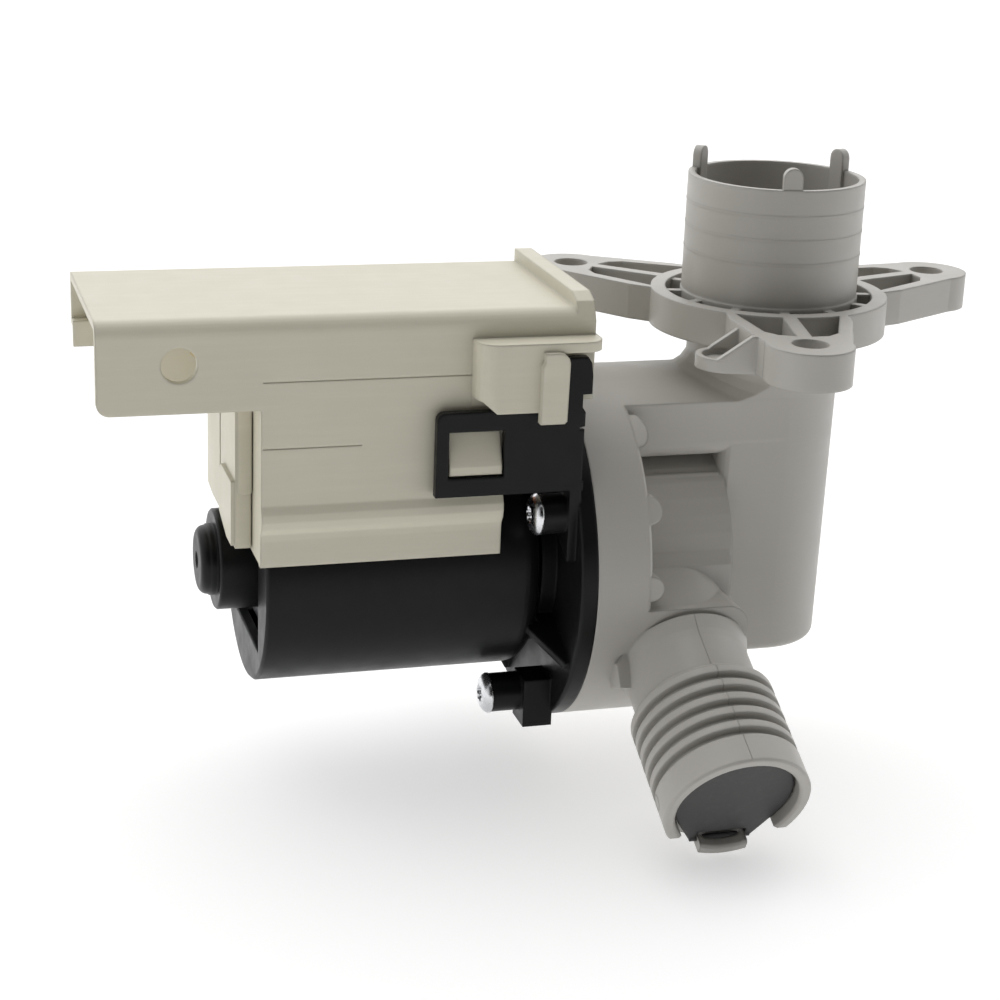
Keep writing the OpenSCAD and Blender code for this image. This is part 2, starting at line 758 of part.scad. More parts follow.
module rear_bearing_seat() {
  color([0.1, 0.1, 0.1]) hung() difference() {
    rod_x(rear_bearing_x - 0.7, rear_bearing_x + bearing_len, rear_seat_r);
    rod_x(rear_bearing_x - slip, rear_bearing_x + bearing_len + cut, bearing_r + slip);
    rod_x(rear_bearing_x - 2, rear_bearing_x + cut, shaft_r + seat_gap);
  }
}

// Plug that closes the rotor can and holds the front bearing
module bearing_cap() {
  seat_end = front_bearing_x + seat_len;
  color([0.88, 0.87, 0.84]) hung() difference() {
    turned_x([[front_bearing_x - 0.6, 0], [front_bearing_x - 0.6, can_bore - slip],
      [spigot_end - cap_flange_t, can_bore - slip],
      [spigot_end - cap_flange_t, cap_flange_r - slip], [spigot_end, cap_flange_r - slip],
      [spigot_end, 0]]);
    rod_x(front_bearing_x - 2, seat_end + slip, front_seat_r + slip);
    rod_x(seat_end - cut, spigot_end + cut, shaft_r + seat_gap);
    turned_x([[seat_end + 2, shaft_r], [seat_end + 2, shaft_r + 2], [spigot_end + cut, 8.5],
      [spigot_end + cut, shaft_r]]);
  }
}

// Seal ring in the spigot's groove
seal_d = 2.2;
seal_groove_r = spigot_bore - seal_d - 0.1;
seal_x = seam + 5.4;
module chamber_seal() {
  color([0.07, 0.07, 0.07]) hung() translate([seal_x, 0, 0]) rotate([0, 90, 0]) rotate_extrude()
    translate([seal_groove_r + slip + seal_d / 2, 0]) circle(r = seal_d / 2, $fn = 24);
}

// Motor housing: the black moulding with cover flange, barrel, rotor can and clip arm
module gusset(x1, r1) {
  slab = 2;
  translate([0, slab / 2, 0]) rotate([90, 0, 0]) linear_extrude(height = slab)
    polygon([[cover_back + 0.5, 22], [cover_back + 0.5, drum_r - 2.5], [cover_back - 1, drum_r - 2.5],
      [x1, r1], [x1, 22]]);
}

module barrel_outside() {
  neck = 4.6;
  r = 5;
  front = cover_back - neck;
  turned_x(concat([[barrel_end, 0], [barrel_end, barrel_r - 0.7], [barrel_end + 0.7, barrel_r]],
    [for (a = [0:15:90]) [front - r + r * sin(a), barrel_r - r + r * cos(a)]],
    [[cover_back + 0.2, barrel_r - r], [cover_back + 0.2, 0]]));
  for (a = [15, 62, 118, 198, 215, 285, 342]) rotate([a, 0, 0])
    gusset(front - r + 1.6, barrel_r - 1.2);
}

module clip_arm() {
  // Arm with its window, and the bracket above it with its stepped edge
  slab_y(arm_front_y, arm_back_y) difference() {
    polygon(concat([[arm_left, arm_low], [cover_back + 0.5, arm_low]],
      [for (p = bracket_edge) [cover_back + p[0], p[1]]],
      [[cover_back - 5, bracket_top], [cover_back - 5, arm_high]],
      arc(arm_left + 2, arm_high - 2, 2, 90, 180, 4)));
    translate(arm_window[0]) square(arm_window[1] - arm_window[0]);
  }
  // Web that ties the arm to the cover flange
  slab_x(cover_back - 2.2, cover_back + 0.6) polygon([[arm_front_y, 8], [arm_front_y, 41],
    [arm_back_y, 41], [-30, 40], [-16, 38], [-16, 20]]);
  block([cover_back - 3.2, arm_front_y, arm_low], [cover_back + 1, arm_back_y + 4, arm_low + 2.2]);
}

module screw_boss(i) {
  at_screw(i) rod_x(screw_seats[i], cover_back + 0.5, screw_head_d / 2 - 0.2);
}

module motor_housing() {
  pocket_r = rear_seat_r + slip;
  color([0.1, 0.1, 0.11]) hung() difference() {
    union() {
      // Cover flange and the spigot that plugs the pump chamber
      turned_x([[cover_back, 0], [cover_back, drum_r - 0.5], [cover_back + 0.5, drum_r],
        [seam, drum_r], [seam, spigot_bore - 0.3], [seal_x - 1.3, spigot_bore - 0.3],
        [seal_x - 1.3, seal_groove_r], [seal_x + 1.3, seal_groove_r],
        [seal_x + 1.3, spigot_bore - 0.3], [spigot_end - 0.6, spigot_bore - 0.3],
        [spigot_end, spigot_bore - 0.9], [spigot_end, 0]]);
      difference() {
        barrel_outside();
        barrel_room();
      }
      // Rotor can with its nose
      rod_x(can_end + 0.4, cover_back, can_r);
      turned_x([[can_end, 0], [can_end, can_r - 0.4], [can_end + 0.4, can_r], [can_end + 2, can_r],
        [can_end + 2, 0]]);
      turned_x(concat([[can_end + 1, 0], [can_end + 1, 9], [can_end - 1.4, 8.9]],
        [for (a = [0:15:90]) [nose_end + 2.2 - 2.2 * sin(a), 6.4 + 2.2 * cos(a)]],
        [[nose_end, 6.4], [nose_end, 2.2], [nose_end + 0.7, 1.8], [nose_end + 0.7, 0]]));
      for (i = [0:3]) screw_boss(i);
      // Block that backs the lower screw boss
      at_screw(1) block([cover_back - 7, -6, -7.6], [cover_back + 0.5, 3, 5]);
      clip_arm();
    }
    // Bore of the can, bearing pocket and the seat of the bearing cap
    rod_x(can_end + 2, spigot_end + cut, can_bore);
    rod_x(rear_bearing_x - 0.7 - slip, can_end + 3, pocket_r);
    rod_x(spigot_end - cap_flange_t - slip, spigot_end + cut, cap_flange_r);
    for (i = [0:3]) at_screw(i) rod_x(screw_seats[i] - cut, seam + cut, screw_d / 2 + 0.2);
  }
  // Collar inside the can that holds the rear bearing seat
  color([0.1, 0.1, 0.11]) hung() difference() {
    rod_x(can_end + 1.9, rear_bearing_x + bearing_len - 0.6, pocket_r + 1.6);
    rod_x(can_end + 1, rear_bearing_x + bearing_len, pocket_r);
  }
}

// Room inside the barrel for the core, open to the rear and under the shield
module barrel_room() {
  half = pole_half + 0.2;
  floor_z = pole_low - seat_gap;
  rail_y = 11;
  rail_half = 1.2;
  ledge_half = 4.8;
  ledge_span = [-7, -4.6];
  coil_half = 24.5;
  coil_room_low = 14;
  coil_room_past = 6;
  difference() {
    rod_x(barrel_end + 2.6, cover_back - 4, barrel_r - barrel_wall);
    // Rails that carry the core
    for (side = [-1, 1]) {
      block([barrel_end + 2, side * rail_y - rail_half, -barrel_r],
        [stack_front + 4, side * rail_y + rail_half, floor_z]);
      block([barrel_end + 2, side * (half + ledge_half) - ledge_half, ledge_span[0]],
        [stack_front + 4, side * (half + ledge_half) + ledge_half, ledge_span[1]]);
    }
    block([stack_front + seat_gap, -barrel_r, -barrel_r],
      [stack_front + seat_gap + 2, barrel_r, -can_r + 1]);
  }
  block([barrel_end - cut, -half, floor_z], [barrel_end + 3, half, barrel_r + cut]);
  block([barrel_end + 2.4, -coil_half, coil_room_low],
    [stack_front + coil_room_past, coil_half, barrel_r + cut]);
}

module cover_screws() {
  color([0.8, 0.81, 0.83]) hung() for (i = [0:3]) at_screw(i) difference() {
    turned_x([[screw_seats[i] - screw_head_h, 0], [screw_seats[i] - screw_head_h, 2.4],
      [screw_seats[i] - screw_head_h + 0.5, screw_head_d / 2 - 1.1],
      [screw_seats[i] - screw_head_h + 1.4, screw_head_d / 2 - 0.2],
      [screw_seats[i] - 0.4, screw_head_d / 2], [screw_seats[i], screw_head_d / 2],
      [screw_seats[i], screw_d / 2], [screw_tip - 2, screw_d / 2], [screw_tip, 0.6],
      [screw_tip, 0]]);
    for (a = [0, 90]) rotate([a + 20, 0, 0])
      translate([screw_seats[i] - screw_head_h - cut, -0.5, -2.2]) cube([cut + 1.2, 1, 4.4]);
  }
}

// Stator: laminated core with two legs, its coil formers and windings
module core_half() {
  difference() {
    polygon([[1.4, pole_low], [pole_half - 2, pole_low], [pole_half, pole_low + 2],
      [pole_half, pole_high - 3], [core_out, pole_high], [core_out, core_top - 2],
      [core_out - 2, core_top], [0, core_top], [0, yoke_low], [core_in, yoke_low],
      [core_in, pole_high], [1.4, pole_high - 3]]);
    circle(r = core_bore);
  }
}

module stator_core() {
  color([0.45, 0.46, 0.48]) hung() slab_x(stack_rear, stack_front) {
    core_half();
    mirror([1, 0]) core_half();
  }
}

module former_section(grow) {
  x0 = stack_rear - former_slip - grow;
  x1 = stack_front + former_slip + grow;
  y0 = core_in - former_slip - grow;
  y1 = core_out + former_slip + grow;
  rounded_rect(x0, y0, x1, y1, max(grow, 0.2) * 0.8);
}

module coil_former() {
  difference() {
    union() {
      translate([0, 0, former_low]) linear_extrude(height = former_high - former_low)
        former_section(former_wall);
      for (z = [former_low, winding_high]) translate([0, 0, z])
        linear_extrude(height = former_flange) former_section(former_wall + copper_t);
    }
    translate([0, 0, former_low - cut])
      linear_extrude(height = former_high - former_low + 2 * cut) former_section(0);
  }
}

module winding() {
  translate([0, 0, winding_low + slip]) linear_extrude(height = winding_len - 2 * slip) difference() {
    former_section(former_wall + copper_t - 0.3);
    former_section(former_wall + slip);
  }
}

module coil_former_front() {
  color([0.93, 0.92, 0.88]) hung() mirror([0, 1, 0]) coil_former();
}

module coil_former_rear() {
  color([0.93, 0.92, 0.88]) hung() coil_former();
}

module winding_front() {
  color([0.72, 0.4, 0.2]) hung() mirror([0, 1, 0]) winding();
}

module winding_rear() {
  color([0.72, 0.4, 0.2]) hung() winding();
}

// End cover over the coils, with the slots that the terminals stand in
cover_plate_t = 4.1;
cover_plate_x = shield_left - cover_plate_t;
cover_back_x = stack_rear - former_slip - former_wall - copper_t - slip;
terminal_y = [-9, 3];
terminal_z = 57;
module coil_end_cover() {
  low = can_r + 1.2;
  far_y = 17;
  far_neck_y = 12.5;
  far_foot_y = 10;
  near_y = -24;
  near_foot = [-16.5, 11];
  under_lip = 7;
  room_y = -15;
  color([0.86, 0.83, 0.74]) hung() difference() {
    union() {
      slab_x(cover_plate_x, shield_left - seat_gap) polygon([[far_y, low + 1],
        [far_y, lip_z - under_lip], [far_neck_y, lip_z - under_lip], [far_neck_y, core_top - 3],
        [near_y, core_top - 3], [near_y, near_foot[1]], near_foot,
        [near_foot[0] + 4.5, low - 1.6], [near_foot[0] + 10.5, low], [far_foot_y, low]]);
      slab_x(shield_left - 1, cover_back_x) polygon([[far_neck_y, former_low],
        [far_neck_y, core_top - 3], [room_y, core_top - 3], [room_y, former_low]]);
      // Raised lower panel on the near side
      slab_x(cover_plate_x - 0.9, cover_plate_x + cut) polygon([[-6, low + 1], [-6, 26], [-9, 27.5],
        [-23.4, 27.5], [-23.4, 11.6], [-16.8, 11.6]]);
      slab_y(-24.8, -23.5) rounded_rect(cover_plate_x + 0.6, 24.5, shield_left - seat_gap, 46, 0.8);
    }
    // Slot between the two panels
    block([cover_plate_x - cut, -3.4, 19], [cover_plate_x + 1.6, -1.8, 46]);
    rod_x(cover_plate_x - 2, shield_left, can_r + 1);
    // Hollow towards the coils
    block([cover_plate_x + 2.4, -13, former_low + 1.6], [cover_back_x + cut, 13, core_top - 5]);
    for (y = terminal_y) block([cover_plate_x - cut, y - 0.45, terminal_z - 3.2],
      [cover_plate_x + 3, y + 0.45, terminal_z + 3.2]);
  }
}

module spade_terminals() {
  color([0.8, 0.7, 0.45]) hung() for (y = terminal_y) difference() {
    slab_y(y - 0.4, y + 0.4) polygon([[cover_plate_x - 8.2, terminal_z - 2],
      [cover_plate_x - 7, terminal_z - 3.15], [cover_plate_x + 5, terminal_z - 3.15],
      [cover_plate_x + 5, terminal_z + 3.15], [cover_plate_x - 7, terminal_z + 3.15],
      [cover_plate_x - 8.2, terminal_z + 2]]);
    translate([cover_plate_x - 4.6, y, terminal_z]) rotate([90, 0, 0])
      cylinder(h = 3, r = 0.9, center = true);
  }
}

// Splash shield
bend = 3.6;
lip_z = 57;
module shield_section(front_low) {
  w = shield_wall;
  polygon(concat(
    [[back_y, lip_z], [back_y, shield_top - 1]],
    [[back_y - 1, shield_top]],
    [for (a = [90:15:180])
      [front_y + bend + bend * cos(a), shield_top - bend + bend * sin(a)]],
    [[front_y, front_low], [front_y + w, front_low]],
    [for (a = [180:-30:90])
      [front_y + bend + (bend - w) * cos(a), shield_top - bend + (bend - w) * sin(a)]],
    [[back_y - w, shield_top - w], [back_y - w, lip_z]]));
}

// Lower front wall with its long rounded bead
module shield_skirt() {
  w = shield_wall;
  polygon([[front_y, overhang_hem + 1], [front_y, 24.6], [front_y - 0.9, 22.8],
    [front_y - 1.1, 21], [front_y - 0.6, 19.2], [front_y + 0.4, 17.6], [front_y + 0.6, 16],
    [front_y + 0.6, shield_hem], [front_y + 0.6 + w, shield_hem], [front_y + 0.6 + w, 17],
    [front_y + w, 22], [front_y + w, overhang_hem + 1]]);
}

module splash_shield() {
  w = shield_wall;
  corner = 3;
  pocket_y = arm_front_y - 3.6;
  color([0.87, 0.84, 0.75]) hung() {
    difference() {
      union() {
        slab_x(roof_left, shield_right + cut) shield_section(overhang_hem);
        slab_x(shield_left, shield_lower_right) shield_skirt();
        // Lip along the far edge
        slab_x(roof_left, shield_left) polygon([[back_y, lip_z + 1], [back_y - 5, lip_z + 1],
          [back_y - 5, lip_z - 5.4], [back_y - 5 + w, lip_z - 5.4], [back_y - 5 + w, lip_z - 0.6],
          [back_y, lip_z - 0.6]]);
        // End wall over the motor's cover flange
        slab_x(shield_right, shield_right + end_wall_t) polygon([[back_y, arm_high + 1],
          [back_y, shield_top + 3], [front_y + 6, shield_top + 3], [front_y + 2, shield_top + 1.4],
          [front_y, shield_top - 3], [front_y, arm_high + 1]]);
        // Inner end wall beside the coil cover
        slab_x(shield_left, shield_left + 1.9) polygon([[front_y + 0.8, shield_hem + 0.4],
          [front_y + 0.8, shield_top - 4], [-20.5, shield_top - 4], [-20.5, 28],
          [-18, 26], [-18, shield_hem + 8], [-21, shield_hem + 0.4]]);
        // Ledge over the pocket and the clip bracket
        translate([0, 0, ledge_low]) linear_extrude(height = ledge_t) polygon(concat(
          pocket_side(pocket_y), arc(ledge_right - 4.4, pocket_y + 4.4, 4.4, 270, 360, 6),
          [[ledge_right, front_y + 1]]));
        clip_pocket(pocket_y);
        ramp_hook();
      }
      // Round lower corner and the harness clip hole of the overhang
      translate([roof_left, front_y - cut, overhang_hem]) difference() {
        translate([-cut, 0, -cut]) cube([corner + cut, w + 2 * cut, corner + cut]);
        translate([corner, w + 3 * cut, corner]) rotate([90, 0, 0]) cylinder(h = w + 4 * cut, r = corner);
      }
      translate([shield_left - overhang / 2, front_y + w + cut, 59]) rotate([90, 0, 0])
        cylinder(h = w + 2 * cut, r = clip_hole_d / 2);
      // Fine mould lines on the front
      block([shield_left + 0.5, front_y - cut, 54.2], [pocket_left - 0.9, front_y + 0.2, 54.5]);
      block([shield_left + 0.5, front_y - cut, 38.4], [shield_left + 23.5, front_y + 0.2, 38.7]);
    }
  }
}

// Curved left side of the pocket, seen from above
pocket_left = shield_lower_right - 7.7;
function pocket_side(pocket_y) = concat([[pocket_left - 1, front_y + 1]],
  [for (a = [0:15:90]) [pocket_left + 4 - 5 * cos(a), pocket_y + 5 - 5 * sin(a)]]);

module clip_pocket(pocket_y) {
  w = shield_wall;
  low = arm_high + seat_gap;
  x1 = cover_back - 11.3;
  x2 = cover_back - 5.3;
  // Box over the arm, with a sloped lower corner on its curved side
  difference() {
    translate([0, 0, low]) linear_extrude(height = ledge_low + 0.4 - low)
      polygon(concat(pocket_side(pocket_y), [[x1, pocket_y], [x1, front_y + 1]]));
    block([pocket_left + w + 2, pocket_y + w, low - cut], [x1 - w, front_y - 0.2, 59]);
    slab_y(pocket_y - cut, front_y - 0.2) polygon([[pocket_left - 3, low - cut],
      [pocket_left + 4.2, low - cut], [pocket_left + 3.4, low], [pocket_left + 0.4, low + 2.6],
      [pocket_left - 3, low + 3.4]]);
  }
  // Hook tab in front of the bracket
  slab_y(pocket_y - 1.6, pocket_y + 0.8) polygon(concat([[x1 - 0.6, arm_high - 2.2],
    [x2 - 0.8, arm_high - 2.2], [x2 - 0.2, arm_high - 1.6]],
    [[x2, 58.5]], arc(x2 - 2.4, 58.6, 2.4, 0, 90, 3), [[x1, 61], [x1, 59], [x1 - 0.6, 58]]));
  block([x1 - 0.6, pocket_y, 59.2], [x2 - 1, front_y + 1, 61]);
}

// Ramp that snaps into the window of the clip arm
module ramp_hook() {
  x0 = arm_window[0][0] + 0.4;
  x1 = arm_window[1][0] - 0.4;
  z0 = arm_window[0][1] + 0.6;
  z1 = arm_window[1][1] - 0.8;
  translate([x0, 0, 0]) rotate([90, 0, 90]) linear_extrude(height = x1 - x0)
    polygon([[front_y + 0.5, z0], [arm_front_y + 0.4, z0], [arm_front_y + 0.4, z0 + 2],
      [front_y - 0.4, z1], [front_y + 0.5, z1]]);
}

pump_housing();
check_valve();
impeller();
drive_dog();
rotor_shaft();
rotor_sleeve();
rotor_magnet();
thrust_washers();
front_bearing();
front_bearing_seat();
bearing_cap();
rear_bearing();
rear_bearing_seat();
chamber_seal();
motor_housing();
cover_screws();
stator_core();
coil_former_front();
coil_former_rear();
winding_front();
winding_rear();
coil_end_cover();
spade_terminals();
splash_shield();
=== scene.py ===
import math

import bmesh
import bpy
from mathutils import Matrix, Vector
from mathutils.bvhtree import BVHTree


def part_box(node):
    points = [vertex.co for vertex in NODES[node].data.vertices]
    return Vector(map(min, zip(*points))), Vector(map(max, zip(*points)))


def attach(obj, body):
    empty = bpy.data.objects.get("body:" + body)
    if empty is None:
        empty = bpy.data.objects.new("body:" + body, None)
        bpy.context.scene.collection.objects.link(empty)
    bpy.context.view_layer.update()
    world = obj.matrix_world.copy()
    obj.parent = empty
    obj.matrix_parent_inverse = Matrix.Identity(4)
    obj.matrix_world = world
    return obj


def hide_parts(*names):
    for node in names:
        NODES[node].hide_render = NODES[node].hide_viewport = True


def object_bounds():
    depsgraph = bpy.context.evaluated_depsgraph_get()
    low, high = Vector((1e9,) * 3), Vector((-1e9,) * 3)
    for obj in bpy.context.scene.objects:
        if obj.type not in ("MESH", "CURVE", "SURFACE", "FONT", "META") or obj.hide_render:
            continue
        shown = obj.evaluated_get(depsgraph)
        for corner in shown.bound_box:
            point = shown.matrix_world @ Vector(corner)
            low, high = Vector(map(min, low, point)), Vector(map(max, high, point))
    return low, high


bl_info = {
    "name": "Drain pump dresser",
    "version": (1, 0, 0),
    "blender": (4, 5, 0),
    "location": "View3D > Sidebar > Drain pump",
    "description": "Gives the packed drain pump its moulded plastics, steel, rubber and copper",
    "category": "Object",
}

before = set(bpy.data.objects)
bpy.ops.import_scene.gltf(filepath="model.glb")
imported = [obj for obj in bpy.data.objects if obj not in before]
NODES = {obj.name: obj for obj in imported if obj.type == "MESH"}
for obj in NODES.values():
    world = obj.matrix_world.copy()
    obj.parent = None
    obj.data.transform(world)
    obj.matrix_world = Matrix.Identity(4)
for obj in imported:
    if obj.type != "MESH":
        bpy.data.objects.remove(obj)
CAD_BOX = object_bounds()

# The source's sizes are written from the motor axis, which lies this far below the origin.
AXIS_DROP = 0.064
# The outlet's axis: its place along the motor and how far it slopes below level
OUTLET_X = -0.0323
OUTLET_DIP = math.radians(27)
# The camera that was fitted to the photograph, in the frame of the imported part
CAMERA_PLACE = (-0.2233, -0.5098, 0.1882 - AXIS_DROP)
CAMERA_AZIMUTH = math.radians(16.805)
CAMERA_ELEVATION = math.radians(18.388)
CAMERA_ROLL = math.radians(-2.263)
CAMERA_LENS_MM = 79.34
CAMERA_SENSOR_MM = 36


# Colours and sizes that the panel shows

class PumpColours(bpy.types.PropertyGroup):
    """Colours of the pump's materials"""
    housing: bpy.props.FloatVectorProperty(
        name="Pump housing", description="Grey of the moulded pump housing",
        subtype="COLOR", size=3, min=0, max=1, default=(0.47, 0.453, 0.418))
    shield: bpy.props.FloatVectorProperty(
        name="Splash shield", description="Cream of the shield and the coil cover",
        subtype="COLOR", size=3, min=0, max=1, default=(0.66, 0.628, 0.51))
    motor: bpy.props.FloatVectorProperty(
        name="Motor housing", description="Black of the moulded motor housing",
        subtype="COLOR", size=3, min=0, max=1, default=(0.008, 0.008, 0.0085))
    rubber: bpy.props.FloatVectorProperty(
        name="Rubber", description="Black of the valve disc and the seals",
        subtype="COLOR", size=3, min=0, max=1, default=(0.06, 0.06, 0.06))
    copper: bpy.props.FloatVectorProperty(
        name="Copper wire", description="Enamelled copper of the windings",
        subtype="COLOR", size=3, min=0, max=1, default=(0.55, 0.2, 0.07))


class PumpSizes(bpy.types.PropertyGroup):
    """Sizes of the details that are made here"""
    edge: bpy.props.FloatProperty(
        name="Moulded edge", description="Radius that the moulded edges are softened to",
        subtype="DISTANCE", unit="LENGTH", min=0.0001, max=0.002, default=0.0009)
    wire: bpy.props.FloatProperty(
        name="Wire diameter", description="Diameter of the winding wire",
        subtype="DISTANCE", unit="LENGTH", min=0.0002, max=0.001, default=0.00045)
    lamination: bpy.props.FloatProperty(
        name="Lamination", description="Thickness of one sheet of the stator core",
        subtype="DISTANCE", unit="LENGTH", min=0.0003, max=0.001, default=0.0005)


# Finishes

def add_node(tree, kind, inputs=(), **settings):
    """A new node in the tree, each input linked to a socket or set to a value"""
    made = tree.nodes.new(kind)
    for key, value in settings.items():
        setattr(made, key, value)
    for key, value in dict(inputs).items():
        if isinstance(value, bpy.types.NodeSocket):
            tree.links.new(value, made.inputs[key])
        else:
            made.inputs[key].default_value = value
    return made


class Finish:
    """A material's node tree, with short calls for the nodes that the pump's finishes share"""

    def __init__(self, name, colour, roughness, metallic=0.0, specular=0.5):
        self.material = bpy.data.materials.new(name)
        self.material.use_nodes = True
        self.tree = self.material.node_tree
        self.shader = self.tree.nodes["Principled BSDF"]
        self.shader.inputs["Base Color"].default_value = (*colour, 1)
        self.shader.inputs["Roughness"].default_value = roughness
        self.shader.inputs["Metallic"].default_value = metallic
        self.shader.inputs["Specular IOR Level"].default_value = specular
        self.place = self.node("ShaderNodeTexCoord").outputs["Object"]
        self.normal = None

    def node(self, kind, inputs=(), **settings):
        return add_node(self.tree, kind, inputs, **settings)

    def noise(self, scale, detail=2.0, roughness=0.5, place=None):
        """Cloudy values from 0 to 1, with scale in clouds per metre"""
        return self.node("ShaderNodeTexNoise", {
            "Vector": place or self.place, "Scale": scale, "Detail": detail,
            "Roughness": roughness}).outputs["Fac"]

    def span(self, value, low, high, from_low=0.0, from_high=1.0):
        """The value carried from the span from_low to from_high onto low to high"""
        return self.node("ShaderNodeMapRange", {
            "Value": value, "From Min": from_low, "From Max": from_high,
            "To Min": low, "To Max": high}).outputs["Result"]

    def mix(self, factor, a, b):
        """Colour a at factor 0, colour b at factor 1"""
        made = self.node("ShaderNodeMix", data_type="RGBA")
        for key, value in (("Factor", factor), ("A", a), ("B", b)):
            socket = [s for s in made.inputs if s.name == key and s.enabled][0]
            if isinstance(value, bpy.types.NodeSocket):
                self.tree.links.new(value, socket)
            else:
                socket.default_value = value
        return [s for s in made.outputs if s.enabled][0]

    def soft_edges(self, radius):
        """Shade the edges as if they were rounded"""
        self.normal = self.node("ShaderNodeBevel", {"Radius": radius}, samples=6).outputs["Normal"]

    def bump(self, height, strength, distance):
        """Fine relief on top of what the normal already has"""
        inputs = {"Height": height, "Strength": strength, "Distance": distance}
        if self.normal:
            inputs["Normal"] = self.normal
        self.normal = self.node("ShaderNodeBump", inputs).outputs["Normal"]

    def done(self, colour, roughness=None):
        """Link what was made to the shader and give the material"""
        self.tree.links.new(colour, self.shader.inputs["Base Color"])
        if roughness:
            self.tree.links.new(roughness, self.shader.inputs["Roughness"])
        if self.normal:
            self.tree.links.new(self.normal, self.shader.inputs["Normal"])
        return self.material


def shade(colour, factor):
    """A colour made darker or lighter, with alpha 1"""
    return (*[min(1.0, c * factor) for c in colour], 1)


def moulded_plastic(name, colour, roughness, edge, grain=0.12, mottle=0.05, flow=0.0,
                    specular=0.5):
    """Injection-moulded plastic: soft edges, fine grain, faint mottling and flow lines"""
    finish = Finish(name, colour, roughness, specular=specular)
    finish.soft_edges(edge)
    cloud = finish.noise(28, 3.0, 0.55)
    tone = finish.mix(cloud, shade(colour, 1 - mottle), shade(colour, 1 + mottle))
    if flow:
        # Long pale streaks along X
        stretched = finish.node("ShaderNodeMapping", {
            "Vector": finish.place, "Scale": (4, 60, 60)}).outputs["Vector"]
        lines = finish.noise(9, 4.0, 0.6, stretched)
        tone = finish.mix(finish.span(lines, 0, flow, 0.45, 0.75), tone, shade(colour, 1.12))
    # Fine dark specks, then painted shade: a darker tone in recesses and creases of the shape
    speck = finish.noise(5200, 1.0)
    tone = finish.mix(finish.span(speck, 0, 0.10, 0.58, 0.75), tone, shade(colour, 0.72))
    # Painted shade: ambient occlusion darkens the colour in recesses and creases
    crevice_shade = finish.node("ShaderNodeAmbientOcclusion", {"Distance": 0.006}, samples=6).outputs["AO"]
    tone = finish.mix(finish.span(crevice_shade, 0.55, 0.0, 0.0, 0.9), tone, shade(colour, 0.55))
    finish.bump(finish.noise(2600, 2.0, 0.6), grain, 0.00012)
    sheen = finish.span(finish.noise(160, 3.0), roughness - 0.05, roughness + 0.06, 0.3, 0.7)
    return finish.done(tone, sheen)


def soft_rubber(name, colour, edge):
    """Matt rubber with a haze of dust"""
    finish = Finish(name, colour, 0.5, specular=0.35)
    finish.soft_edges(edge)
    dust = finish.noise(420, 4.0, 0.65)
    tone = finish.mix(finish.span(dust, 0, 0.5, 0.5, 0.8), (*colour, 1), shade(colour, 1.8))
    finish.bump(finish.noise(1900, 3.0), 0.15, 0.0001)
    return finish.done(tone, finish.span(dust, 0.42, 0.58, 0.3, 0.7))


def plated_steel(name, colour, edge):
    """Bright metal with an uneven haze"""
    finish = Finish(name, colour, 0.22, metallic=1.0)
    finish.soft_edges(edge)
    haze = finish.noise(900, 3.0, 0.6)
    finish.bump(haze, 0.08, 0.00005)
    return finish.done(finish.mix(haze, shade(colour, 0.86), shade(colour, 1.06)),
                       finish.span(haze, 0.16, 0.34, 0.3, 0.7))


def laminated_steel(name, pitch):
    """Varnished sheets, seen as fine bands along the motor axis"""
    colour = (0.16, 0.165, 0.175)
    finish = Finish(name, colour, 0.42, metallic=0.7)
    x = finish.node("ShaderNodeSeparateXYZ", {"Vector": finish.place}).outputs["X"]
    turn = finish.node("ShaderNodeMath", {0: x, 1: 2 * math.pi / pitch},
                       operation="MULTIPLY").outputs[0]
    wave = finish.node("ShaderNodeMath", {0: turn}, operation="SINE").outputs[0]
    finish.bump(wave, 0.5, 0.00012)
    tone = finish.mix(finish.span(wave, 0, 1, -1, 1), shade(colour, 0.55), shade(colour, 1.25))
    stain = finish.span(finish.noise(70, 4.0), 0, 0.35, 0.55, 0.75)
    tone = finish.mix(stain, tone, (0.12, 0.07, 0.045, 1))
    return finish.done(tone, finish.span(finish.noise(300), 0.35, 0.55, 0.3, 0.7))


def enamelled_copper(name, colour):
    """Copper under a thin clear coat"""
    finish = Finish(name, colour, 0.28, metallic=0.85)
    finish.shader.inputs["Coat Weight"].default_value = 0.5
    finish.shader.inputs["Coat Roughness"].default_value = 0.15
    return finish.done(finish.mix(finish.noise(380, 3.0), shade(colour, 0.8), shade(colour, 1.15)))


def tinned_brass(name):
    """Brass with paler patches of tin"""
    finish = Finish(name, (0.62, 0.5, 0.26), 0.3, metallic=1.0)
    patches = finish.noise(500, 3.0)
    return finish.done(finish.mix(patches, (0.55, 0.45, 0.25, 1), (0.68, 0.58, 0.36, 1)))


def pale_floor(name):
    """Floor with a little light of its own, as white as a lit studio table"""
    finish = Finish(name, (0.62, 0.62, 0.62), 0.7)
    finish.shader.inputs["Emission Color"].default_value = (1, 1, 1, 1)
    finish.shader.inputs["Emission Strength"].default_value = 0.5
    return finish.done(finish.mix(finish.noise(3, 2.0), (0.6, 0.6, 0.6, 1), (0.64, 0.64, 0.64, 1)))


def dress(material, *names):
    """Give carried-over CAD nodes their finish"""
    for name in names:
        slots = NODES[name].data.materials
        slots.clear()
        slots.append(material)


# Mesh helpers

def add_object(name, data):
    """A new object in the scene"""
    made = bpy.data.objects.new(name, data)
    bpy.context.scene.collection.objects.link(made)
    return made


def new_piece(name, mesh, material, body):
    """A piece of the visual model that rides on a body"""
    piece = add_object(name, mesh)
    mesh.materials.append(material)
    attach(piece, body)
    return piece


